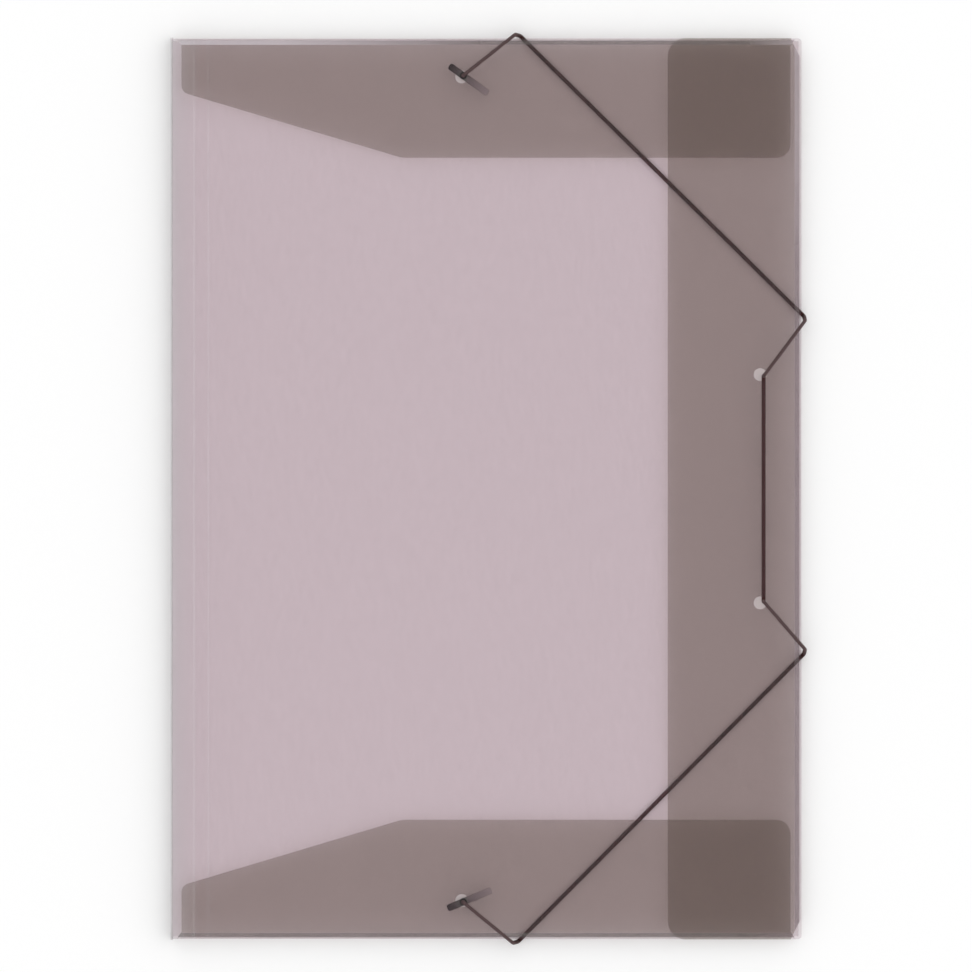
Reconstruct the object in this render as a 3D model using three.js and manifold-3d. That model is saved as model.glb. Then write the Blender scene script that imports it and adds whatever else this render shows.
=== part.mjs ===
// Three flap folder, foolscap size, closed and held by its elastic.
// One die-cut sheet of smoke-tinted translucent film is folded into a front cover, a spine,
// a back cover and three flaps, each flap on a narrow gusset with two creases. One round
// elastic cord runs over two corners, through two holes at the fore-edge, and ends in two
// metal end bars behind two more holes.
// The folder lies on its front cover with the back cover up and the spine at -X.
// Millimetres, +Z up. Origin at the middle of the underside of the bounding box.

import * as THREE from 'three';
import { mergeVertices } from 'three/addons/utils/BufferGeometryUtils.js';
import Module from 'manifold-3d';

// Sheet
const coverWidth = 245; // spine to fore-edge
const coverHeight = 350;
const coverCornerRadius = 1.5;
const sheetThickness = 0.5;
const creaseRadius = 0.6; // at the middle of the sheet
const bodyInset = 0.6; // the folded edges lie this far inside the front cover's edges

// Side flap, on the fore-edge
const sideFlapWidth = 52; // from the fore-edge to the flap's free edge
const sideFlapCornerRadius = 7;
const sideGussetRun = 4.3; // from the fore-edge to the flap's crease, seen from above
const sideGussetEndRise = 9.3; // the gusset's ends slant back from the corners by this much

// End flaps, at the top and the bottom
const endFlapDepth = 46.5; // from the folded edge to the flap's free edge
const endGussetRun = 3; // from the folded edge to the flap's crease, seen from above
const endFlapSpineClearance = 4.2;
const endFlapForeClearance = 4.4;
const endGussetFlare = 2.2; // the gusset is wider than the flap by this much at each end
const endFlapSideLength = 21; // the flap's edge beside the spine, before the slanted cut
const slantedCutLength = 85.5; // along the spine-to-fore-edge direction
const slantedCutBlend = 12;
const endFlapSpineCornerRadius = 3.5;
const endFlapForeCornerRadius = 5.5;

// Score lines that let the front cover hinge, on its inner face beside the spine
const scoreLineInsets = [9, 14.6];
const scoreLineWidth = 0.8;
const scoreLineDepth = 0.15;

// Elastic cord
const cordDiameter = 1.6;
const cordBendRadius = 0.9; // at the middle of the cord
const cordSides = 8;
const topApexX = 12.2; // where the cord goes over each edge
const bottomApexX = 11.4;
const upperForeApexY = 66;
const lowerForeApexY = -63.1;

// Holes in the back cover
const holeDiameter = 5;
const foreHoleInset = 16.2; // from the fore-edge
const foreHoleSpacing = 88.6;
const anchorHoleInset = 15.2; // from the top and bottom edges
const anchorHoleX = -9.5;

// End bars: a stamped strip with a cup that grips the end of the cord
const barLength = 18.5;
const barWidth = 1.9;
const barThickness = 0.7;
const barCrown = 0.25; // how much the strip's top is rounded up
const barShortArm = 6.7; // from the cup's axis to the near end
const cupWall = 0.35;
const upperBarAngle = -35.7;
const lowerBarAngle = 22.7;

// Clearances
const sheetGap = 0.4; // between sheets that are pressed together
const touchGap = 0.3; // between cord, bar and sheet where they bear on each other
const cordFloorGap = 0.1; // the cord hangs this far clear of what the cover lies on
const pocketSlack = 1; // height left under an end bar, above the end flap

// The front cover rises over the cord at the two fore-edge corners
const rampAngle = 12;
const rampRadius = 20;
const rampToCord = 2.5; // the cover is level again this far before the cord

// Facets of round stretches
const creaseFacets = 6;
const outlineFacets = 8;
const cordBendFacets = 4;

// Worked out from the sizes above
const halfThickness = sheetThickness / 2;
const cordRadius = cordDiameter / 2;
const foreEdge = coverWidth / 2;
const spineEdge = -coverWidth / 2;
const headEdge = coverHeight / 2;

// Levels of the layers, each measured to the underside of its sheet
const raisedCoverUnder = cordFloorGap + cordDiameter + touchGap;
const sideFlapUnder = raisedCoverUnder + sheetThickness + sheetGap;
const endFlapUnder = sideFlapUnder + sheetThickness + sheetGap;
const barUnder = endFlapUnder + sheetThickness + pocketSlack;
const backCoverUnder = barUnder + barThickness + touchGap;
const backCoverTop = backCoverUnder + sheetThickness;

const wasm = await Module();
wasm.setup();

// Rounded to a tenth of a micron, so that strips that are joined meet face to face
const snap = (value) => Math.round(value * 1e4) / 1e4;

function toSolid(geometry) {
  const bare = geometry.clone();
  bare.deleteAttribute('normal');
  bare.deleteAttribute('uv');
  const merged = mergeVertices(bare, 1e-5);
  return new wasm.Manifold(new wasm.Mesh({
    numProp: 3,
    vertProperties: new Float32Array(merged.attributes.position.array),
    triVerts: new Uint32Array(merged.index.array),
  }));
}

function toGeometry(solid) {
  const mesh = solid.getMesh();
  const geometry = new THREE.BufferGeometry();
  geometry.setAttribute('position', new THREE.BufferAttribute(mesh.vertProperties, 3));
  geometry.setIndex(new THREE.BufferAttribute(mesh.triVerts, 1));
  const faceted = geometry.toNonIndexed();
  faceted.computeVertexNormals();
  return faceted;
}

// Plan outline through corners [x, y, radius]
function roundedOutline(corners) {
  const shape = new THREE.Shape();
  corners.forEach(([x, y, radius = 0], index) => {
    const here = new THREE.Vector2(x, y);
    const before = corners[(index + corners.length - 1) % corners.length];
    const after = corners[(index + 1) % corners.length];
    const back = new THREE.Vector2(before[0], before[1]).sub(here).normalize();
    const ahead = new THREE.Vector2(after[0], after[1]).sub(here).normalize();
    if (radius === 0) {
      if (index === 0) shape.moveTo(x, y);
      else shape.lineTo(x, y);
      return;
    }
    const halfAngle = Math.acos(back.dot(ahead)) / 2;
    const centre = back.clone().add(ahead).normalize()
      .multiplyScalar(radius / Math.sin(halfAngle)).add(here);
    const tangent = radius / Math.tan(halfAngle);
    const entry = back.clone().multiplyScalar(tangent).add(here).sub(centre);
    const exit = ahead.clone().multiplyScalar(tangent).add(here).sub(centre);
    if (index === 0) shape.moveTo(centre.x + entry.x, centre.y + entry.y);
    shape.absarc(centre.x, centre.y, radius, entry.angle(), exit.angle(), back.cross(ahead) > 0);
  });
  shape.closePath();
  return shape;
}

// An outline in plan, made solid between two heights
function plate(shape, bottom, top) {
  const geometry = new THREE.ExtrudeGeometry(shape, {
    depth: top - bottom, bevelEnabled: false, curveSegments: outlineFacets,
  });
  return toSolid(geometry.translate(0, 0, bottom));
}

function roundHole(x, y) {
  const shape = new THREE.Shape();
  shape.absarc(x, y, holeDiameter / 2, 0, Math.PI * 2);
  const geometry = new THREE.ExtrudeGeometry(shape, {
    depth: sheetThickness * 2, bevelEnabled: false, curveSegments: outlineFacets * 3,
  });
  return toSolid(geometry.translate(0, 0, backCoverUnder - halfThickness));
}

// Section of a folded strip, followed along the middle of the sheet from a start point:
// a number is a flat length, and { turn, radius } is a bend in radians, left turns positive
function foldSection(startX, startZ, heading, steps) {
  const left = [];
  const right = [];
  let x = startX;
  let z = startZ;
  let angle = heading;
  const mark = () => {
    const across = new THREE.Vector2(-Math.sin(angle), Math.cos(angle)).multiplyScalar(halfThickness);
    left.push(new THREE.Vector2(snap(x + across.x), snap(z + across.y)));
    right.unshift(new THREE.Vector2(snap(x - across.x), snap(z - across.y)));
  };
  const advance = (length) => {
    x += length * Math.cos(angle);
    z += length * Math.sin(angle);
  };
  mark();
  for (const step of steps) {
    if (typeof step === 'number') {
      advance(step);
      mark();
      continue;
    }
    const facetTurn = step.turn / creaseFacets;
    for (let facet = 0; facet < creaseFacets; facet += 1) {
      angle += facetTurn / 2;
      advance(2 * step.radius * Math.sin(Math.abs(facetTurn) / 2));
      angle += facetTurn / 2;
      mark();
    }
  }
  return new THREE.Shape([...left, ...right]);
}

// A section swept straight: its x goes along `across`, its y along +Z
function sweep(section, across, length) {
  const up = new THREE.Vector3(0, 0, 1);
  const along = new THREE.Vector3().crossVectors(across, up);
  const geometry = new THREE.ExtrudeGeometry(section, { depth: length, bevelEnabled: false });
  geometry.translate(0, 0, -length / 2);
  geometry.applyMatrix4(new THREE.Matrix4().makeBasis(across, up, along));
  return toSolid(geometry);
}

// The two creases of a gusset, which slants in from the folded edge down to its flap
function gussetSteps(run, drop) {
  const flatRun = run - creaseRadius - halfThickness;
  const flatDrop = drop - 2 * creaseRadius;
  const slope = Math.atan2(flatDrop, flatRun);
  return [
    { turn: slope - Math.PI, radius: creaseRadius },
    Math.hypot(flatRun, flatDrop),
    { turn: -slope, radius: creaseRadius },
  ];
}

// Distance from a folded edge to where its first crease begins
const creaseInset = bodyInset + creaseRadius + halfThickness;
const backCoverMiddle = backCoverUnder + halfThickness;

// The front cover's strip beside the spine, the spine and the back cover
const coverRootX = spineEdge + coverWidth / 4;
function spineAndBackCover() {
  const spineCrease = { turn: -Math.PI / 2, radius: creaseRadius };
  const flatFrom = spineEdge + halfThickness + creaseRadius;
  const section = foldSection(coverRootX, halfThickness, Math.PI, [
    coverRootX - flatFrom,
    spineCrease,
    backCoverMiddle - halfThickness - 2 * creaseRadius,
    spineCrease,
    foreEdge - creaseInset - flatFrom,
  ]);
  const strip = sweep(section, new THREE.Vector3(1, 0, 0), coverHeight);
  const trimmedEdge = headEdge - creaseInset;
  return [1, -1].reduce((solid, side) => solid.subtract(plate(roundedOutline([
    [spineEdge + sheetThickness + creaseRadius, side * trimmedEdge],
    [foreEdge, side * trimmedEdge],
    [foreEdge, side * (headEdge + sheetThickness)],
    [spineEdge + sheetThickness + creaseRadius, side * (headEdge + sheetThickness)],
  ]), backCoverUnder - halfThickness, backCoverTop + halfThickness)), strip);
}

function sideFlap() {
  const section = foldSection(foreEdge - creaseInset, backCoverMiddle, 0, [
    ...gussetSteps(sideGussetRun - bodyInset, backCoverUnder - sideFlapUnder),
    sideFlapWidth - sideGussetRun,
  ]);
  const strip = sweep(section, new THREE.Vector3(1, 0, 0), coverHeight);
  const creaseX = foreEdge - sideGussetRun;
  const freeX = foreEdge - sideFlapWidth;
  const slantEnd = headEdge - sideGussetEndRise;
  return strip.intersect(plate(roundedOutline([
    [foreEdge, slantEnd],
    [creaseX, headEdge],
    [freeX, headEdge, sideFlapCornerRadius],
    [freeX, -headEdge, sideFlapCornerRadius],
    [creaseX, -headEdge],
    [foreEdge, -slantEnd],
  ]), 0, backCoverTop + sheetThickness));
}

// side is 1 for the top flap and -1 for the bottom one
function endFlap(side) {
  const section = foldSection(headEdge - creaseInset, backCoverMiddle, 0, [
    ...gussetSteps(endGussetRun - bodyInset, backCoverUnder - endFlapUnder),
    endFlapDepth - endGussetRun,
  ]);
  const strip = sweep(section, new THREE.Vector3(0, side, 0), coverWidth);
  const left = spineEdge + endFlapSpineClearance;
  const right = foreEdge - endFlapForeClearance;
  const freeY = headEdge - endFlapDepth;
  const creaseY = headEdge - endGussetRun;
  return strip.intersect(plate(roundedOutline([
    [left - endGussetFlare, side * headEdge],
    [left, side * creaseY],
    [left, side * (creaseY - endFlapSideLength + endGussetRun), endFlapSpineCornerRadius],
    [left + slantedCutLength, side * freeY, slantedCutBlend],
    [right, side * freeY, endFlapForeCornerRadius],
    [right, side * creaseY],
    [right + endGussetFlare, side * headEdge],
  ]), 0, backCoverTop + sheetThickness));
}

// Where the cord turns over an edge, clear of the front cover
const cordEdgeOffset = touchGap + cordRadius;
const headApex = {
  1: new THREE.Vector2(topApexX, headEdge + cordEdgeOffset),
  [-1]: new THREE.Vector2(bottomApexX, -headEdge - cordEdgeOffset),
};
const foreApex = {
  1: new THREE.Vector2(foreEdge + cordEdgeOffset, upperForeApexY),
  [-1]: new THREE.Vector2(foreEdge + cordEdgeOffset, lowerForeApexY),
};

// Half of the front cover: flat, with its fore-edge corner ramped up over the cord's diagonal
function coverHalf(side) {
  const diagonal = foreApex[side].clone().sub(headApex[side]).normalize();
  const outward = new THREE.Vector2(-side * diagonal.y, side * diagonal.x);
  const cordDistance = headApex[side].dot(outward);
  const slope = THREE.MathUtils.degToRad(rampAngle);
  const bendRise = 2 * rampRadius * (1 - Math.cos(slope));
  const flatRamp = (raisedCoverUnder - bendRise) / Math.sin(slope);
  const rampRun = 2 * rampRadius * Math.sin(slope) + flatRamp * Math.cos(slope);
  const rampStart = cordDistance - rampToCord - rampRun;
  const beyond = coverWidth + coverHeight;
  const section = foldSection(-beyond, halfThickness, 0, [
    beyond + rampStart,
    { turn: slope, radius: rampRadius },
    flatRamp,
    { turn: -slope, radius: rampRadius },
    beyond,
  ]);
  const strip = sweep(section, new THREE.Vector3(outward.x, outward.y, 0), 2 * beyond);
  return strip.intersect(plate(roundedOutline([
    [coverRootX, 0],
    [foreEdge, 0],
    [foreEdge, side * headEdge, coverCornerRadius],
    [coverRootX, side * headEdge],
  ]), -halfThickness, raisedCoverUnder + 2 * sheetThickness));
}

function scoreLine(inset) {
  const x = spineEdge + inset;
  return plate(roundedOutline([
    [x - scoreLineWidth / 2, -coverHeight],
    [x + scoreLineWidth / 2, -coverHeight],
    [x + scoreLineWidth / 2, coverHeight],
    [x - scoreLineWidth / 2, coverHeight],
  ]), sheetThickness - scoreLineDepth, sheetThickness * 2);
}

const foreHoleX = foreEdge - foreHoleInset;
const foreHoleY = foreHoleSpacing / 2;
const anchorHoleY = headEdge - anchorHoleInset;

function folderSheet() {
  const parts = [spineAndBackCover(), coverHalf(1), coverHalf(-1), sideFlap(), endFlap(1), endFlap(-1)];
  const cuts = [
    roundHole(foreHoleX, foreHoleY),
    roundHole(foreHoleX, -foreHoleY),
    roundHole(anchorHoleX, anchorHoleY),
    roundHole(anchorHoleX, -anchorHoleY),
    ...scoreLineInsets.map(scoreLine),
  ];
  const joined = parts.reduce((solid, part) => solid.add(part));
  return cuts.reduce((solid, cut) => solid.subtract(cut), joined);
}

// End bar, with the cup's axis at the origin and the strip's underside at z = 0
const cupInnerRadius = cordRadius + touchGap;
const cupOuterRadius = cupInnerRadius + cupWall;
function endBar() {
  const halfWidth = barWidth / 2;
  const crownBase = barThickness - barCrown;
  const section = new THREE.Shape();
  section.moveTo(-halfWidth, 0);
  section.lineTo(halfWidth, 0);
  section.lineTo(halfWidth, crownBase);
  section.quadraticCurveTo(0, barThickness + barCrown, -halfWidth, crownBase);
  section.closePath();
  const strip = sweep(section, new THREE.Vector3(0, 1, 0), 2 * barLength);
  const outline = plate(roundedOutline([
    [-barShortArm, -halfWidth, halfWidth * 0.99],
    [barLength - barShortArm, -halfWidth, halfWidth * 0.99],
    [barLength - barShortArm, halfWidth, halfWidth * 0.99],
    [-barShortArm, halfWidth, halfWidth * 0.99],
  ]), -barThickness, 2 * barThickness);
  const cupTop = backCoverTop - barUnder;
  const cup = new THREE.LatheGeometry([
    new THREE.Vector2(0, 0),
    new THREE.Vector2(cupOuterRadius, 0),
    new THREE.Vector2(cupOuterRadius, cupTop),
    new THREE.Vector2(cupInnerRadius, cupTop),
    new THREE.Vector2(cupInnerRadius, barThickness),
    new THREE.Vector2(0, barThickness),
  ], outlineFacets * 3);
  cup.rotateX(Math.PI / 2);
  return strip.intersect(outline).add(toSolid(cup));
}

// Where the cord draws each cup, and itself, against the rim of its hole
function againstRim(hole, pull, radius) {
  const shift = holeDiameter / 2 - radius - touchGap;
  return pull.clone().normalize().multiplyScalar(shift).add(hole);
}

const anchorPlace = {};
const foreHolePlace = {};
for (const side of [1, -1]) {
  const anchorHole = new THREE.Vector2(anchorHoleX, side * anchorHoleY);
  const foreHole = new THREE.Vector2(foreHoleX, side * foreHoleY);
  const outerPull = foreApex[side].clone().sub(foreHole).normalize();
  const innerPull = new THREE.Vector2(0, -side);
  anchorPlace[side] = againstRim(anchorHole, headApex[side].clone().sub(anchorHole), cupOuterRadius);
  foreHolePlace[side] = againstRim(foreHole, outerPull.add(innerPull), cordRadius);
}

// Middle of the cord on the outside of the back cover, inside it, and under the front cover
const cordOver = backCoverTop + touchGap + cordRadius;
const cordInside = backCoverUnder - touchGap - cordRadius;
const cordUnder = cordFloorGap + cordRadius;
const cordEnd = barUnder + barThickness + touchGap;

const at = (place, z) => new THREE.Vector3(place.x, place.y, z);
const cordCorners = [
  at(anchorPlace[1], cordEnd),
  at(anchorPlace[1], cordOver),
  at(headApex[1], cordOver),
  at(headApex[1], cordUnder),
  at(foreApex[1], cordUnder),
  at(foreApex[1], cordOver),
  at(foreHolePlace[1], cordOver),
  at(foreHolePlace[1], cordInside),
  at(foreHolePlace[-1], cordInside),
  at(foreHolePlace[-1], cordOver),
  at(foreApex[-1], cordOver),
  at(foreApex[-1], cordUnder),
  at(headApex[-1], cordUnder),
  at(headApex[-1], cordOver),
  at(anchorPlace[-1], cordOver),
  at(anchorPlace[-1], cordEnd),
];

// Straight stretches with a round bend at each corner, and one knot at each facet's end
class CordRoute extends THREE.Curve {
  constructor(corners, radius) {
    super();
    const last = corners.length - 1;
    const directions = corners.slice(1).map((corner, i) => corner.clone().sub(corners[i]).normalize());
    this.knots = [{ point: corners[0], tangent: directions[0] }];
    for (let i = 1; i < last; i += 1) {
      this.addBend(corners[i], directions[i - 1], directions[i], radius);
    }
    this.knots.push({ point: corners[last], tangent: directions[last - 1] });
  }

  addBend(corner, into, out, radius) {
    const angle = into.angleTo(out);
    const centre = out.clone().sub(into).normalize()
      .multiplyScalar(radius / Math.cos(angle / 2)).add(corner);
    const start = into.clone().multiplyScalar(-radius * Math.tan(angle / 2)).add(corner);
    const arm = start.sub(centre).normalize();
    for (let facet = 0; facet <= cordBendFacets; facet += 1) {
      const turned = angle * facet / cordBendFacets;
      const point = arm.clone().multiplyScalar(radius * Math.cos(turned))
        .addScaledVector(into, radius * Math.sin(turned)).add(centre);
      const tangent = arm.clone().multiplyScalar(-Math.sin(turned))
        .addScaledVector(into, Math.cos(turned));
      this.knots.push({ point, tangent });
    }
  }

  knotAt(u) {
    return this.knots[Math.round(u * (this.knots.length - 1))];
  }

  getPointAt(u) {
    return this.knotAt(u).point.clone();
  }

  getTangentAt(u) {
    return this.knotAt(u).tangent.clone();
  }
}

function elasticCord() {
  const route = new CordRoute(cordCorners, cordBendRadius);
  const section = new THREE.Shape();
  for (let side = 0; side < cordSides; side += 1) {
    const angle = 2 * Math.PI * (side + 0.5) / cordSides;
    const corner = [cordRadius * Math.cos(angle), cordRadius * Math.sin(angle)];
    if (side === 0) section.moveTo(...corner);
    else section.lineTo(...corner);
  }
  section.closePath();
  return new THREE.ExtrudeGeometry(section, {
    steps: route.knots.length - 1, bevelEnabled: false, extrudePath: route,
  });
}

function named(name, geometry, settings) {
  const mesh = new THREE.Mesh(geometry, new THREE.MeshStandardMaterial(settings));
  mesh.name = name;
  return mesh;
}

const filmFinish = { color: 0x8f7f80, roughness: 0.35, metalness: 0, transparent: true, opacity: 0.45 };
const cordFinish = { color: 0x2b2220, roughness: 0.75, metalness: 0 };
const barFinish = { color: 0x9a9898, roughness: 0.35, metalness: 0.9 };

const folder = new THREE.Group();
folder.name = 'three_flap_folder';
folder.add(named('folder_sheet', toGeometry(folderSheet()), filmFinish));
folder.add(named('elastic_cord', elasticCord(), cordFinish));

const barGeometry = toGeometry(endBar());
const bars = [
  { name: 'upper_end_bar', side: 1, angle: upperBarAngle },
  { name: 'lower_end_bar', side: -1, angle: lowerBarAngle },
];
for (const { name, side, angle } of bars) {
  const bar = named(name, barGeometry.clone(), barFinish);
  bar.position.set(anchorPlace[side].x, anchorPlace[side].y, barUnder);
  bar.rotation.z = THREE.MathUtils.degToRad(angle);
  folder.add(bar);
}

// The origin goes to the middle of the underside of the whole
const box = new THREE.Box3().setFromObject(folder);
const middle = box.getCenter(new THREE.Vector3());
folder.position.set(-middle.x, -middle.y, -box.min.z);
folder.updateMatrixWorld(true);

export default folder;
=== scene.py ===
import math

import bpy
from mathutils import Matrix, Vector


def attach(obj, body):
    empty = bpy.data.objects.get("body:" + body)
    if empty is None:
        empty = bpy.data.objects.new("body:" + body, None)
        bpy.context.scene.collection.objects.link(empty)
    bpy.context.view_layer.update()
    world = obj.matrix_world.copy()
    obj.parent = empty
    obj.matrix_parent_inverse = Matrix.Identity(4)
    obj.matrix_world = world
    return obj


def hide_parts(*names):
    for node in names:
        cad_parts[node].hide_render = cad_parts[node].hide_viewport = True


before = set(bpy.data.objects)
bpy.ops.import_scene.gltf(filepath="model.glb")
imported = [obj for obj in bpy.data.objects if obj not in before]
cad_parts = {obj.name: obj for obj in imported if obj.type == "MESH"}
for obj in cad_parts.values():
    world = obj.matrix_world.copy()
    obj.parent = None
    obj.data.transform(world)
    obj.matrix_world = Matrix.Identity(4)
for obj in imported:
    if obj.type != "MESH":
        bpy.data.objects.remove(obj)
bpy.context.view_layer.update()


# Folder sheet: one die-cut sheet of smoke-tinted polypropylene, 0.5 mm thick, creased and folded
# into two covers, a spine and three flaps on gussets. It is see-through, a little hazy, and embossed
# on both faces with a fine cross grain.
MM = 0.001
# Heights that tell the flaps and their gussets from the covers, and the spine's outer face
FLAP_BAND = (2.75 * MM, 4.45 * MM)
GUSSET_BAND = (4.5 * MM, 6.2 * MM)
SPINE_FACE = -122.7 * MM
TAIL_GUSSET = -172 * MM
# What is seen through the film, and the light that passes it to what lies under it. A dark gusset
# takes a part of the flaps' tint.
COVER_TINT = (0.89, 0.85, 0.868, 1)
FLAP_TINT = (0.668, 0.65, 0.615, 1)
COVER_LAMP_LIGHT = (0.857, 0.813, 0.828, 1)
FLAP_LAMP_LIGHT = (0.72, 0.695, 0.66, 1)
SPINE_LAMP_LIGHT = (0.36, 0.35, 0.35, 1)
GUSSET_LAMP_LIGHT = (0.18, 0.175, 0.175, 1)
DARK_GUSSET_PART = 0.6
# Haze: its colour and its share of what is seen
COVER_HAZE = (0.30, 0.22, 0.24, 1)
FLAP_HAZE = (0.26, 0.22, 0.20, 1)
HAZE_SHARE = 0.07
HAZE_EVEN, HAZE_GRAINY = 0.8, 0.4
CUT_EDGE_SHARE = 0.35
STEEPEST_FLAT = 0.3
# Gussets: a painted sheen at the head beside the spine, dark elsewhere, and a painted highlight at the
# head fore-edge corner
PAINTED_LIGHT_AND_WHITENED_FILM = (0.80, 0.83, 0.84, 1)
DARK_GUSSET = (0.14, 0.15, 0.13, 1)
FORE_GUSSET = (0.20, 0.18, 0.175, 1)
HEAD_CORNER_HIGHLIGHT = (0.50, 0.50, 0.49, 1)
HEAD_CORNER_HIGHLIGHT_FADE = (90 * MM, 135 * MM)
GUSSET_FADE = (-80 * MM, 0 * MM)
FORE_FADE = (100 * MM, 116 * MM)
GUSSET_SHARE = 0.54
GUSSET_SHEEN_SHARE = 0.14
# Painted light along the spine fold, and whitening on the two score lines
SPINE_FADE = (-112 * MM, -123.5 * MM)
PAINTED_SPINE_LIGHT_SHARE = 0.07
SCORE_LINES = (-114.35 * MM, -108.75 * MM)
SCORE_WIDTH = 0.7 * MM
SCORE_SHARE = 0.035
# Painted pools of light on the flaps straight under the four punched holes
HOLE_LIGHT_POOL = (0.78, 0.72, 0.72, 1)
HOLE_LIGHT_POOL_SHARE = 0.52
HOLE_RADIUS = 2.5 * MM
HEAD_HOLE = (-10.45 * MM, 159.81 * MM)
FORE_HOLE = (105.35 * MM, 44.3 * MM)
# Surface of the film
GRAIN_FINENESS = 600
GRAIN_SLANT = math.radians(45)
GRAIN_STRETCH = (1, 0.3, 1)
GRAIN_STRENGTH = 0.18
GRAIN_DEPTH = 0.04 * MM
FILM_ROUGHNESS = 0.32
FILM_IOR = 1.49


def new_material(name):
    """A material with an empty node tree, its output and one Principled shader."""
    material = bpy.data.materials.new(name)
    material.use_nodes = True
    nodes = material.node_tree.nodes
    nodes.clear()
    output = nodes.new("ShaderNodeOutputMaterial")
    shader = nodes.new("ShaderNodeBsdfPrincipled")
    material.node_tree.links.new(shader.outputs["BSDF"], output.inputs["Surface"])
    return material, nodes, material.node_tree.links, shader


def math_node(nodes, links, operation, first, second=None, clamp=False):
    """A Math node whose inputs are sockets or plain numbers."""
    node = nodes.new("ShaderNodeMath")
    node.operation = operation
    node.use_clamp = clamp
    for socket, value in zip(node.inputs, (first, second)):
        if value is None:
            continue
        if isinstance(value, (int, float)):
            socket.default_value = value
        else:
            links.new(value, socket)
    return node.outputs[0]


def add_share(nodes, links, total, part, weight):
    """total with part, times weight, added to it."""
    weighted = math_node(nodes, links, "MULTIPLY", part, weight)
    return math_node(nodes, links, "ADD", total, weighted)


def between(nodes, links, value, low, high):
    """1 where value lies from low to high, else 0."""
    above = math_node(nodes, links, "GREATER_THAN", value, low)
    below = math_node(nodes, links, "LESS_THAN", value, high)
    return math_node(nodes, links, "MULTIPLY", above, below)


def cross_grain_group():
    """Fine embossed grain: uneven short ridges on the slant."""
    group = bpy.data.node_groups.new("cross_grain", "ShaderNodeTree")
    for name, kind in (("Vector", "NodeSocketVector"), ("Fineness", "NodeSocketFloat")):
        group.interface.new_socket(name, in_out="INPUT", socket_type=kind)
    group.interface.new_socket("Height", in_out="OUTPUT", socket_type="NodeSocketFloat")
    nodes, links = group.nodes, group.links
    source = nodes.new("NodeGroupInput")
    result = nodes.new("NodeGroupOutput")
    slant = nodes.new("ShaderNodeMapping")
    slant.inputs["Rotation"].default_value = (0, 0, GRAIN_SLANT)
    slant.inputs["Scale"].default_value = GRAIN_STRETCH
    links.new(source.outputs["Vector"], slant.inputs["Vector"])
    ridges = nodes.new("ShaderNodeTexNoise")
    ridges.inputs["Detail"].default_value = 0
    links.new(source.outputs["Fineness"], ridges.inputs["Scale"])
    links.new(slant.outputs["Vector"], ridges.inputs["Vector"])
    links.new(ridges.outputs["Fac"], result.inputs["Height"])
    return group


def blend_colours(nodes, links, share, first, second):
    """A colour that goes from first to second as share goes from 0 to 1."""
    mix = nodes.new("ShaderNodeMix")
    mix.data_type = "RGBA"
    links.new(share, mix.inputs["Factor"])
    for socket, colour in ((mix.inputs["A"], first), (mix.inputs["B"], second)):
        if isinstance(colour, tuple):
            socket.default_value = colour
        else:
            links.new(colour, socket)
    return mix.outputs["Result"]


def ramp_along(nodes, links, value, span):
    """0 to 1 as value goes over span."""
    ramp = nodes.new("ShaderNodeMapRange")
    ramp.inputs["From Min"].default_value = span[0]
    ramp.inputs["From Max"].default_value = span[1]
    links.new(value, ramp.inputs["Value"])
    return ramp.outputs["Result"]


def mix_shaders(nodes, links, share, first, second):
    """A Mix Shader from first to second."""
    mix = nodes.new("ShaderNodeMixShader")
    links.new(share, mix.inputs["Fac"])
    links.new(first.outputs[0], mix.inputs[1])
    links.new(second.outputs[0], mix.inputs[2])
    return mix


def near_hole(nodes, links, place, hole):
    """1 straight under a punched hole at hole or at its mirror place at the other end, else 0."""
    across = math_node(nodes, links, "SUBTRACT", place.outputs["X"], hole[0])
    along = math_node(nodes, links, "ABSOLUTE", place.outputs["Y"])
    along = math_node(nodes, links, "SUBTRACT", along, hole[1])
    across = math_node(nodes, links, "MULTIPLY", across, across)
    along = math_node(nodes, links, "MULTIPLY", along, along)
    square = math_node(nodes, links, "ADD", across, along)
    return math_node(nodes, links, "LESS_THAN", square, HOLE_RADIUS ** 2)


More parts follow.
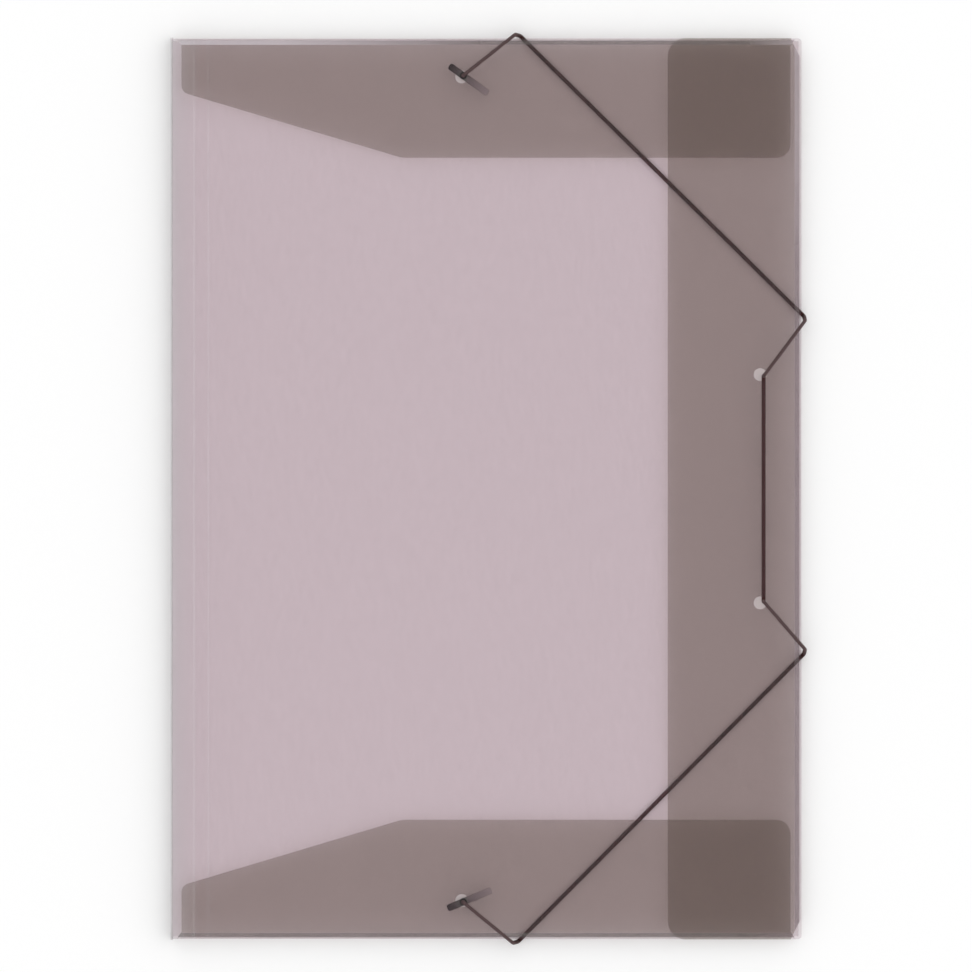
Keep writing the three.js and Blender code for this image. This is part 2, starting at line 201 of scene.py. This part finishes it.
def film_material(grain):
    """Tinted see-through film with a thin haze.

    A sheet tints a ray once, on the face that it comes in by. The haze is for what is looked at,
    and the light that passes to what lies under the sheet has a tint of its own.
    """
    material, nodes, links, haze = new_material("smoke_film")
    coordinates = nodes.new("ShaderNodeTexCoord")
    place = nodes.new("ShaderNodeSeparateXYZ")
    links.new(coordinates.outputs["Object"], place.inputs["Vector"])
    across, along, height = place.outputs
    flap = between(nodes, links, height, *FLAP_BAND)
    gusset = between(nodes, links, height, *GUSSET_BAND)

    # Colour of the haze on each part of the sheet, with a painted sheen on the head gusset beside the
    # spine and a painted highlight at its fore-edge corner
    fade = ramp_along(nodes, links, across, GUSSET_FADE)
    tail = math_node(nodes, links, "LESS_THAN", along, TAIL_GUSSET)
    fade = math_node(nodes, links, "MAXIMUM", fade, tail)
    fore = ramp_along(nodes, links, across, FORE_FADE)
    gusset_colour = blend_colours(nodes, links, fade, PAINTED_LIGHT_AND_WHITENED_FILM, DARK_GUSSET)
    head_corner_highlight = ramp_along(nodes, links, along, HEAD_CORNER_HIGHLIGHT_FADE)
    fore_colour = blend_colours(nodes, links, head_corner_highlight, FORE_GUSSET, HEAD_CORNER_HIGHLIGHT)
    gusset_colour = blend_colours(nodes, links, fore, gusset_colour, fore_colour)
    sheet_colour = blend_colours(nodes, links, flap, COVER_HAZE, FLAP_HAZE)

    # Painted light along the spine fold and whitening on the score lines, on the covers only
    spine_light_and_scores = ramp_along(nodes, links, across, SPINE_FADE)
    spine_light_and_scores = math_node(nodes, links, "MULTIPLY", spine_light_and_scores, PAINTED_SPINE_LIGHT_SHARE)
    for line in SCORE_LINES:
        score = between(nodes, links, across, line - SCORE_WIDTH / 2, line + SCORE_WIDTH / 2)
        spine_light_and_scores = add_share(nodes, links, spine_light_and_scores, score, SCORE_SHARE)
    cover = math_node(nodes, links, "SUBTRACT", 1.0, flap)
    spine_light_and_scores = math_node(nodes, links, "MULTIPLY", spine_light_and_scores, cover)
    spine_light_and_score_mix = math_node(nodes, links, "DIVIDE", spine_light_and_scores, HAZE_SHARE, clamp=True)
    sheet_colour = blend_colours(nodes, links, spine_light_and_score_mix, sheet_colour, PAINTED_LIGHT_AND_WHITENED_FILM)

    # Painted pools of light on the flaps under the holes
    hole_light_pool = math_node(nodes, links, "MAXIMUM", near_hole(nodes, links, place, HEAD_HOLE),
                    near_hole(nodes, links, place, FORE_HOLE))
    hole_light_pool = math_node(nodes, links, "MULTIPLY", hole_light_pool, flap)
    sheet_colour = blend_colours(nodes, links, hole_light_pool, sheet_colour, HOLE_LIGHT_POOL)
    colour = blend_colours(nodes, links, gusset, sheet_colour, gusset_colour)
    links.new(colour, haze.inputs["Base Color"])

    # Embossed surface
    texture = nodes.new("ShaderNodeGroup")
    texture.node_tree = grain
    texture.inputs["Fineness"].default_value = GRAIN_FINENESS
    links.new(coordinates.outputs["Object"], texture.inputs["Vector"])
    bump = nodes.new("ShaderNodeBump")
    bump.inputs["Strength"].default_value = GRAIN_STRENGTH
    bump.inputs["Distance"].default_value = GRAIN_DEPTH
    links.new(texture.outputs["Height"], bump.inputs["Height"])
    links.new(bump.outputs["Normal"], haze.inputs["Normal"])
    haze.inputs["Roughness"].default_value = FILM_ROUGHNESS
    haze.inputs["IOR"].default_value = FILM_IOR

    # Share of the haze on each part of the sheet
    face = nodes.new("ShaderNodeNewGeometry")
    facing = nodes.new("ShaderNodeSeparateXYZ")
    links.new(face.outputs["Normal"], facing.inputs["Vector"])
    upright = math_node(nodes, links, "ABSOLUTE", facing.outputs["Z"])
    upright = math_node(nodes, links, "LESS_THAN", upright, STEEPEST_FLAT)
    off_spine = math_node(nodes, links, "GREATER_THAN", across, SPINE_FACE)
    cut_edge = math_node(nodes, links, "MULTIPLY", upright, off_spine)
    # Painted sheen: more haze on the head gusset beside the spine
    gusset_sheen = math_node(nodes, links, "SUBTRACT", gusset, fade, clamp=True)
    share = math_node(nodes, links, "MULTIPLY", texture.outputs["Height"], HAZE_SHARE * HAZE_GRAINY)
    share = math_node(nodes, links, "ADD", share, HAZE_SHARE * HAZE_EVEN)
    for part, weight in ((gusset, GUSSET_SHARE - HAZE_SHARE), (cut_edge, CUT_EDGE_SHARE),
                         (hole_light_pool, HOLE_LIGHT_POOL_SHARE), (spine_light_and_scores, 1.0),
                         (gusset_sheen, GUSSET_SHEEN_SHARE)):
        share = add_share(nodes, links, share, part, weight)

    # Tint of what is seen through the sheet
    tint = nodes.new("ShaderNodeBsdfTransparent")
    dark = math_node(nodes, links, "MULTIPLY", gusset, fade)
    dark = math_node(nodes, links, "SUBTRACT", dark, fore, clamp=True)
    dark = math_node(nodes, links, "MULTIPLY", dark, DARK_GUSSET_PART)
    dark = math_node(nodes, links, "MAXIMUM", dark, flap)
    links.new(blend_colours(nodes, links, dark, COVER_TINT, FLAP_TINT), tint.inputs["Color"])

    # Tint of the light that passes the sheet
    lamp_tint = nodes.new("ShaderNodeBsdfTransparent")
    lamp_colour = blend_colours(nodes, links, flap, COVER_LAMP_LIGHT, FLAP_LAMP_LIGHT)
    lamp_colour = blend_colours(nodes, links, off_spine, SPINE_LAMP_LIGHT, lamp_colour)
    lamp_colour = blend_colours(nodes, links, gusset, lamp_colour, GUSSET_LAMP_LIGHT)
    links.new(lamp_colour, lamp_tint.inputs["Color"])

    clear = nodes.new("ShaderNodeBsdfTransparent")
    path = nodes.new("ShaderNodeLightPath")
    seen = math_node(nodes, links, "ADD", path.outputs["Is Camera Ray"], path.outputs["Is Glossy Ray"])
    sheet = mix_shaders(nodes, links, share, tint, haze)
    sheet = mix_shaders(nodes, links, seen, lamp_tint, sheet)
    sheet = mix_shaders(nodes, links, face.outputs["Backfacing"], sheet, clear)
    output = next(node for node in nodes if node.type == "OUTPUT_MATERIAL")
    links.new(sheet.outputs[0], output.inputs["Surface"])
    return material


SAME_POINT = 0.002 * MM
FLAT_ANGLE = math.radians(0.05)
FOLD_ANGLE = math.radians(25)
LARGE_FACES_LEAD = 100


def merged_copy(node, name):
    """A new piece from a CAD node's mesh, its loose triangles joined and its flats made whole."""
    bpy.ops.object.select_all(action="DESELECT")
    piece = bpy.data.objects.new(name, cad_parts[node].data.copy())
    bpy.context.collection.objects.link(piece)
    piece.select_set(True)
    bpy.context.view_layer.objects.active = piece
    bpy.ops.object.mode_set(mode="EDIT")
    bpy.ops.mesh.customdata_custom_splitnormals_clear()
    bpy.ops.mesh.select_all(action="SELECT")
    bpy.ops.mesh.remove_doubles(threshold=SAME_POINT)
    bpy.ops.mesh.dissolve_limited(angle_limit=FLAT_ANGLE)
    bpy.ops.object.mode_set(mode="OBJECT")
    bpy.ops.object.shade_smooth_by_angle(angle=FOLD_ANGLE)
    weighted = piece.modifiers.new("flats_stay_flat", "WEIGHTED_NORMAL")
    weighted.weight = LARGE_FACES_LEAD
    weighted.keep_sharp = True
    bpy.ops.object.modifier_apply(modifier=weighted.name)
    return piece


film = merged_copy("folder_sheet", "film_sheet")
film.data.materials.clear()
film.data.materials.append(film_material(cross_grain_group()))
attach(film, "root")
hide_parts("folder_sheet")


# End bars: each is a strip of steel with rounded corners, stamped to a shallow crown, with a cup
# pressed round the end of the elastic. It lies under the back cover, across the punched hole.
BAR_LENGTH = 18.5 * MM
BAR_WIDTH = 2.7 * MM
BAR_THICKNESS = 0.7 * MM
BAR_SHORT_ARM = 6.7 * MM
BAR_CORNER = 0.85 * MM
BAR_CROWN = 0.3 * MM
NEAR_TOP = 0.9
FACES_UP = 0.9
BAR_CORNER_STEPS = 8
BAR_CROWN_STEPS = 4
CUP_RADIUS = 1.45 * MM
CUP_BORE = 1.1 * MM
CUP_HEIGHT = 1.5 * MM
CUP_SIDES = 32
SHARP_ANGLE = math.radians(35)
# Dark steel, and a lighter tone that is painted light along the long arm, which looks faint under the
# film's haze
DULL_STEEL = (0.03, 0.027, 0.027, 1)
PAINTED_LIGHT_STEEL = (0.26, 0.22, 0.22, 1)
TONE_REACH = 3.0 * MM
SCRATCH_SCALE = 900
SCRATCH_DETAIL = 4
SCRATCH_DEPTH = 0.3
STEEL_ROUGHNESS = 0.22
STEEL_METAL = 0.85


def steel_material():
    """Scratched steel, dull on the short arm and brighter from the cup along the long arm: painted
    light for the long arm, which looks faint under the film's haze.
    """
    material, nodes, links, shader = new_material("stamped_steel")
    coordinates = nodes.new("ShaderNodeTexCoord")
    scratches = nodes.new("ShaderNodeTexNoise")
    scratches.inputs["Scale"].default_value = SCRATCH_SCALE
    scratches.inputs["Detail"].default_value = SCRATCH_DETAIL
    links.new(coordinates.outputs["Object"], scratches.inputs["Vector"])
    tone = nodes.new("ShaderNodeValToRGB")
    tone.color_ramp.elements[0].color = DULL_STEEL
    tone.color_ramp.elements[1].color = PAINTED_LIGHT_STEEL
    reach = nodes.new("ShaderNodeAttribute")
    reach.attribute_name = "reach"
    scratched = math_node(nodes, links, "MULTIPLY", scratches.outputs["Fac"], SCRATCH_DEPTH)
    scratches_and_painted_light = math_node(nodes, links, "ADD", scratched, reach.outputs["Fac"])
    scratches_and_painted_light = math_node(nodes, links, "SUBTRACT", scratches_and_painted_light, SCRATCH_DEPTH / 2, clamp=True)
    links.new(scratches_and_painted_light, tone.inputs["Fac"])
    links.new(tone.outputs["Color"], shader.inputs["Base Color"])
    rough = math_node(nodes, links, "ADD", scratched, STEEL_ROUGHNESS)
    links.new(rough, shader.inputs["Roughness"])
    shader.inputs["Metallic"].default_value = STEEL_METAL
    return material


steel = steel_material()


def make_end_bar(name, cup_place, angle):
    """A stamped strip with rounded corners and a pressed cup, turned about the cup's axis."""
    bpy.ops.object.select_all(action="DESELECT")
    middle = (BAR_LENGTH / 2 - BAR_SHORT_ARM, 0, BAR_THICKNESS / 2)
    bpy.ops.mesh.primitive_cube_add(size=1, location=middle)
    bar = bpy.context.object
    bar.name = name
    bar.scale = (BAR_LENGTH, BAR_WIDTH, BAR_THICKNESS)
    bpy.ops.object.transform_apply(location=True, rotation=False, scale=True)
    bpy.ops.object.mode_set(mode="EDIT")
    bpy.ops.mesh.select_mode(type="EDGE")
    bpy.ops.mesh.select_all(action="DESELECT")
    bpy.ops.object.mode_set(mode="OBJECT")
    for edge in bar.data.edges:
        first, second = (bar.data.vertices[i].co for i in edge.vertices)
        edge.select = abs(first.z - second.z) > BAR_THICKNESS / 2
    bpy.ops.object.mode_set(mode="EDIT")
    bpy.ops.mesh.bevel(offset=BAR_CORNER, segments=BAR_CORNER_STEPS, affect="EDGES")
    bpy.ops.mesh.select_all(action="DESELECT")
    bpy.ops.object.mode_set(mode="OBJECT")
    for edge in bar.data.edges:
        edge.select = all(bar.data.vertices[i].co.z > BAR_THICKNESS * NEAR_TOP for i in edge.vertices)
    bpy.ops.object.mode_set(mode="EDIT")
    bpy.ops.mesh.bevel(offset=BAR_CROWN, segments=BAR_CROWN_STEPS, affect="EDGES")
    bpy.ops.mesh.select_all(action="DESELECT")
    bpy.ops.mesh.primitive_cylinder_add(vertices=CUP_SIDES, radius=CUP_RADIUS, depth=CUP_HEIGHT,
                                        location=(0, 0, CUP_HEIGHT / 2), end_fill_type="NGON")
    bpy.ops.object.mode_set(mode="OBJECT")
    for face in bar.data.polygons:
        face.select = face.select and face.normal.z > FACES_UP
    bpy.ops.object.mode_set(mode="EDIT")
    bpy.ops.mesh.select_mode(type="FACE")
    bpy.ops.mesh.inset(thickness=CUP_RADIUS - CUP_BORE)
    into_cup = (0, 0, BAR_THICKNESS - CUP_HEIGHT)
    bpy.ops.mesh.extrude_region_move(TRANSFORM_OT_translate={"value": into_cup})
    bpy.ops.mesh.select_all(action="SELECT")
    bpy.ops.mesh.normals_make_consistent(inside=False)
    bpy.ops.object.mode_set(mode="OBJECT")
    bpy.ops.object.shade_smooth_by_angle(angle=SHARP_ANGLE)
    # Share of the painted light, from the cup along the long arm
    reach = bar.data.attributes.new("reach", "FLOAT", "POINT")
    for vertex, value in zip(bar.data.vertices, reach.data):
        value.value = min(1, max(0, (vertex.co.x - CUP_RADIUS) / TONE_REACH))
    bar.location = cup_place
    bar.rotation_euler = (0, 0, math.radians(angle))
    bpy.ops.object.transform_apply(location=True, rotation=True, scale=True)
    bar.data.materials.append(steel)
    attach(bar, "root")
    return bar


END_BARS = {
    "upper": ((-9.848 * MM, 160.243 * MM, 5.3 * MM), -35.7),
    "lower": ((-9.857 * MM, -160.269 * MM, 5.3 * MM), 22.7),
}
for end, (cup_place, angle) in END_BARS.items():
    bar = make_end_bar(f"{end}_steel_bar", cup_place, angle)
    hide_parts(f"{end}_end_bar")


# Elastic: rubber strands under a braided dark cover, 1.6 mm thick. It runs from one end bar over the
# head, under the front cover to the fore-edge, in and out through two holes, and back to the other bar.
CORD_RADIUS = 0.8 * MM
TAUT_RADIUS = 0.68 * MM
THREADS_ROUND = 4
BRAID_PITCH = 2.4 * MM
CORD_BEND = 0.9 * MM
CORD_SIDES = 20
BEND_STEPS = 8
CORD_STEP = 1.6 * MM
OVER, INSIDE, UNDER, CORD_END = 7.8, 5.2, 0.9, 6.3
STRETCHED_FROM = 7.0
# Rubber between the threads, and painted shade where they dip
RUBBER_AND_DIP_SHADE = (0.004, 0.003, 0.003, 1)
# Thread colours: lighter outside the folder, a painted highlight, and darker and redder inside it,
# painted shade under the film
THREAD_INSIDE_SHADED = (0.075, 0.015, 0.014, 1)
THREAD_OUTSIDE_LIT = (0.17, 0.105, 0.107, 1)
OUTSIDE_FROM = (OVER - 0.85) * MM
UNDER_THREAD_LIGHT = 0.7
THREAD_ROUNDNESS = 0.5
THREAD_DEPTH = 0.12 * MM
THREAD_RELIEF = 0.7
THREAD_GLOSS = 0.2
DIP_ROUGHNESS, CREST_ROUGHNESS = 0.7, 0.45
CORD_SMOOTH_ANGLE = math.radians(40)
CORD_CORNERS = [
    (-9.848, 160.243, CORD_END), (-9.848, 160.243, OVER),
    (10.2, 176.05, OVER), (12.2, 176.05, UNDER),
    (122.6, 67.0, UNDER), (122.6, 65.1, OVER),
    (106.672, 43.832, OVER), (106.672, 43.832, INSIDE),
    (106.652, -43.798, INSIDE), (106.652, -43.798, OVER),
    (122.6, -62.2, OVER), (122.6, -64.1, UNDER),
    (11.4, -176.05, UNDER), (9.4, -176.05, OVER),
    (-9.857, -160.269, OVER), (-9.857, -160.269, CORD_END),
]


def rounded_route(corners, radius):
    """Points along straight stretches with a round bend at each corner."""
    points = [corners[0]]
    for before, here, after in zip(corners, corners[1:], corners[2:]):
        into = (here - before).normalized()
        out = (after - here).normalized()
        angle = into.angle(out)
        centre = here + (out - into).normalized() * radius / math.cos(angle / 2)
        arm = (here - into * radius * math.tan(angle / 2) - centre).normalized()
        for step in range(BEND_STEPS + 1):
            turned = angle * step / BEND_STEPS
            points.append(centre + (arm * math.cos(turned) + into * math.sin(turned)) * radius)
    points.append(corners[-1])
    return points


def even_steps(points, longest):
    """The same route with its long stretches cut into even steps."""
    stepped = [points[0]]
    for start, end in zip(points, points[1:]):
        pieces = max(1, round((end - start).length / longest))
        stepped.extend(start.lerp(end, piece / pieces) for piece in range(1, pieces + 1))
    return stepped


def cord_radius(point):
    """Full inside and under the folder, and a little thinner where it is stretched over the back."""
    stretched = min(1, max(0, (point.z / MM - STRETCHED_FROM) / (OVER - STRETCHED_FROM)))
    return CORD_RADIUS + (TAUT_RADIUS - CORD_RADIUS) * stretched


def sweep_cord(name, points, sides):
    """A closed tube along points, with a UV map: round the cord in U, metres along it in V."""
    vertices, faces, lengths = [], [], [0.0]
    for start, end in zip(points, points[1:]):
        lengths.append(lengths[-1] + (end - start).length)
    across = Vector((0, 1, 0))
    for index, point in enumerate(points):
        ahead = points[min(index + 1, len(points) - 1)] - points[max(index - 1, 0)]
        tangent = ahead.normalized()
        across = (across - tangent * across.dot(tangent)).normalized()
        side = tangent.cross(across)
        for corner in range(sides):
            turn = 2 * math.pi * corner / sides
            outwards = across * math.cos(turn) + side * math.sin(turn)
            vertices.append(point + outwards * cord_radius(point))
    for ring in range(len(points) - 1):
        for corner in range(sides):
            after = (corner + 1) % sides
            low, high = ring * sides, (ring + 1) * sides
            faces.append((low + corner, low + after, high + after, high + corner))
    faces.append(tuple(reversed(range(sides))))
    faces.append(tuple(range((len(points) - 1) * sides, len(points) * sides)))
    mesh = bpy.data.meshes.new(name)
    mesh.from_pydata(vertices, [], faces)
    layer = mesh.uv_layers.new(name="UVMap")
    for face in mesh.polygons:
        wraps = len(face.vertices) == 4 and max(v % sides for v in face.vertices) == sides - 1
        for loop, vertex in zip(face.loop_indices, face.vertices):
            corner = vertex % sides
            if wraps and corner == 0:
                corner = sides
            layer.data[loop].uv = (corner / sides, lengths[vertex // sides])
    cord = bpy.data.objects.new(name, mesh)
    bpy.context.collection.objects.link(cord)
    return cord


def braid_material():
    """Two sets of threads that cross round the cord in long diamonds, with painted shade where they dip
    and on the thread that passes under, a painted highlight on the threads outside the folder and
    painted shade on those inside it.
    """
    material, nodes, links, shader = new_material("braided_elastic")
    coordinates = nodes.new("ShaderNodeTexCoord")
    place = nodes.new("ShaderNodeSeparateXYZ")
    links.new(coordinates.outputs["UV"], place.inputs["Vector"])
    round_cord = math_node(nodes, links, "MULTIPLY", place.outputs["X"], THREADS_ROUND * 2 * math.pi)
    along_cord = math_node(nodes, links, "MULTIPLY", place.outputs["Y"], 2 * math.pi / BRAID_PITCH)
    threads = []
    for operation in ("ADD", "SUBTRACT"):
        phase = math_node(nodes, links, operation, round_cord, along_cord)
        threads.append(math_node(nodes, links, "SINE", phase))
    crossing = math_node(nodes, links, "MULTIPLY", *threads)
    # Painted shade: darker where the threads dip and on the thread that passes under
    braid = math_node(nodes, links, "ABSOLUTE", crossing)
    braid = math_node(nodes, links, "POWER", braid, THREAD_ROUNDNESS)
    on_top = math_node(nodes, links, "GREATER_THAN", crossing, 0)
    shaded = math_node(nodes, links, "MULTIPLY", on_top, 1 - UNDER_THREAD_LIGHT)
    shaded = math_node(nodes, links, "ADD", shaded, UNDER_THREAD_LIGHT)
    shaded = math_node(nodes, links, "MULTIPLY", braid, shaded)
    # Painted highlight on the threads outside the folder, painted shade on those inside it
    level = nodes.new("ShaderNodeSeparateXYZ")
    links.new(coordinates.outputs["Object"], level.inputs["Vector"])
    outside = math_node(nodes, links, "GREATER_THAN", level.outputs["Z"], OUTSIDE_FROM)
    crest = blend_colours(nodes, links, outside, THREAD_INSIDE_SHADED, THREAD_OUTSIDE_LIT)
    links.new(blend_colours(nodes, links, shaded, RUBBER_AND_DIP_SHADE, crest), shader.inputs["Base Color"])
    shader.inputs["Specular IOR Level"].default_value = THREAD_GLOSS
    rough = math_node(nodes, links, "MULTIPLY", braid, CREST_ROUGHNESS - DIP_ROUGHNESS)
    rough = math_node(nodes, links, "ADD", rough, DIP_ROUGHNESS)
    links.new(rough, shader.inputs["Roughness"])
    bump = nodes.new("ShaderNodeBump")
    bump.inputs["Strength"].default_value = THREAD_RELIEF
    bump.inputs["Distance"].default_value = THREAD_DEPTH
    links.new(braid, bump.inputs["Height"])
    links.new(bump.outputs["Normal"], shader.inputs["Normal"])
    return material


corners = [Vector(corner) * MM for corner in CORD_CORNERS]
cord_route = even_steps(rounded_route(corners, CORD_BEND), CORD_STEP)
elastic = sweep_cord("braided_elastic", cord_route, CORD_SIDES)
bpy.ops.object.select_all(action="DESELECT")
elastic.select_set(True)
bpy.context.view_layer.objects.active = elastic
bpy.ops.object.shade_smooth_by_angle(angle=CORD_SMOOTH_ANGLE)
elastic.data.materials.append(braid_material())
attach(elastic, "root")
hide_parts("elastic_cord")


# Studio: a white paper floor in a white room that is brightest on the right. The camera looks
# straight down on the back cover through a long lens, as in the photograph.
FRAME_WIDTH = 378.0 * MM
CAMERA_DISTANCE = 2.4
FOLDER_MIDDLE = Vector((-0.95 * MM, 0, 0))
OFF_CENTRE = Vector((-0.1 * MM, 1.07 * MM, 0))
SENSOR_WIDTH = 36
VIEW_DEPTH = 20
FLOOR_SIZE = 6
FLOOR_GAP = 0.1 * MM
FLOOR_COLOUR = (0.95, 0.95, 0.95, 1)
FLOOR_ROUGHNESS = 0.9
FLOOR_LIFT = 0.05
WHITE = (1, 1, 1, 1)
WINDOW_SIDE = (0.75, 0.1, -0.1)
ROOM_LIGHT = (0.72, 1.32)

bpy.ops.object.select_all(action="DESELECT")
bpy.ops.mesh.primitive_plane_add(size=FLOOR_SIZE, location=(0, 0, -FLOOR_GAP))
floor = bpy.context.object
floor.name = "white_floor"
bpy.ops.object.transform_apply(location=True, rotation=True, scale=True)


def straight_look(nodes, links):
    """1 for what the camera sees, straight, in a gloss or through glass, else 0."""
    path = nodes.new("ShaderNodeLightPath")
    seen = math_node(nodes, links, "ADD", path.outputs["Is Camera Ray"], path.outputs["Is Glossy Ray"])
    return math_node(nodes, links, "ADD", seen, path.outputs["Is Transmission Ray"], clamp=True)


def floor_material():
    """Matt white paper that looks nearly pure white and keeps the folder's shadow."""
    material, nodes, links, shader = new_material("white_paper")
    shader.inputs["Base Color"].default_value = FLOOR_COLOUR
    shader.inputs["Roughness"].default_value = FLOOR_ROUGHNESS
    shader.inputs["Specular IOR Level"].default_value = 0.0
    lift = math_node(nodes, links, "MULTIPLY", straight_look(nodes, links), FLOOR_LIFT)
    links.new(lift, shader.inputs["Emission Strength"])
    shader.inputs["Emission Color"].default_value = WHITE
    return material


floor.data.materials.append(floor_material())

world = bpy.data.worlds.new("white_room")
bpy.context.scene.world = world
world.use_nodes = True
world.cycles.sampling_method = "NONE"
room, room_links = world.node_tree.nodes, world.node_tree.links
direction = room.new("ShaderNodeTexCoord")
towards_window = room.new("ShaderNodeVectorMath")
towards_window.operation = "DOT_PRODUCT"
towards_window.inputs[1].default_value = WINDOW_SIDE
room_links.new(direction.outputs["Generated"], towards_window.inputs[0])
level = room.new("ShaderNodeMapRange")
level.inputs["From Min"].default_value = -1
level.inputs["To Min"].default_value = ROOM_LIGHT[0]
level.inputs["To Max"].default_value = ROOM_LIGHT[1]
room_links.new(towards_window.outputs["Value"], level.inputs["Value"])
white = room.new("ShaderNodeMix")
room_links.new(straight_look(room, room_links), white.inputs["Factor"])
room_links.new(level.outputs["Result"], white.inputs["A"])
white.inputs["B"].default_value = 1.0
room["Background"].inputs["Color"].default_value = WHITE
room_links.new(white.outputs["Result"], room["Background"].inputs["Strength"])

above = Vector((0, 0, CAMERA_DISTANCE))
bpy.ops.object.camera_add(location=FOLDER_MIDDLE + OFF_CENTRE + above)
camera = bpy.context.object
camera.data.sensor_width = SENSOR_WIDTH
camera.data.lens = CAMERA_DISTANCE * SENSOR_WIDTH / FRAME_WIDTH
camera.data.clip_end = VIEW_DEPTH
bpy.context.scene.camera = camera

# Few bounces are enough for thin sheets over a white floor
scene = bpy.context.scene
scene.view_settings.view_transform = "Standard"
scene.cycles.max_bounces = 4
scene.cycles.diffuse_bounces = 2
scene.cycles.glossy_bounces = 2
scene.cycles.transparent_max_bounces = 20
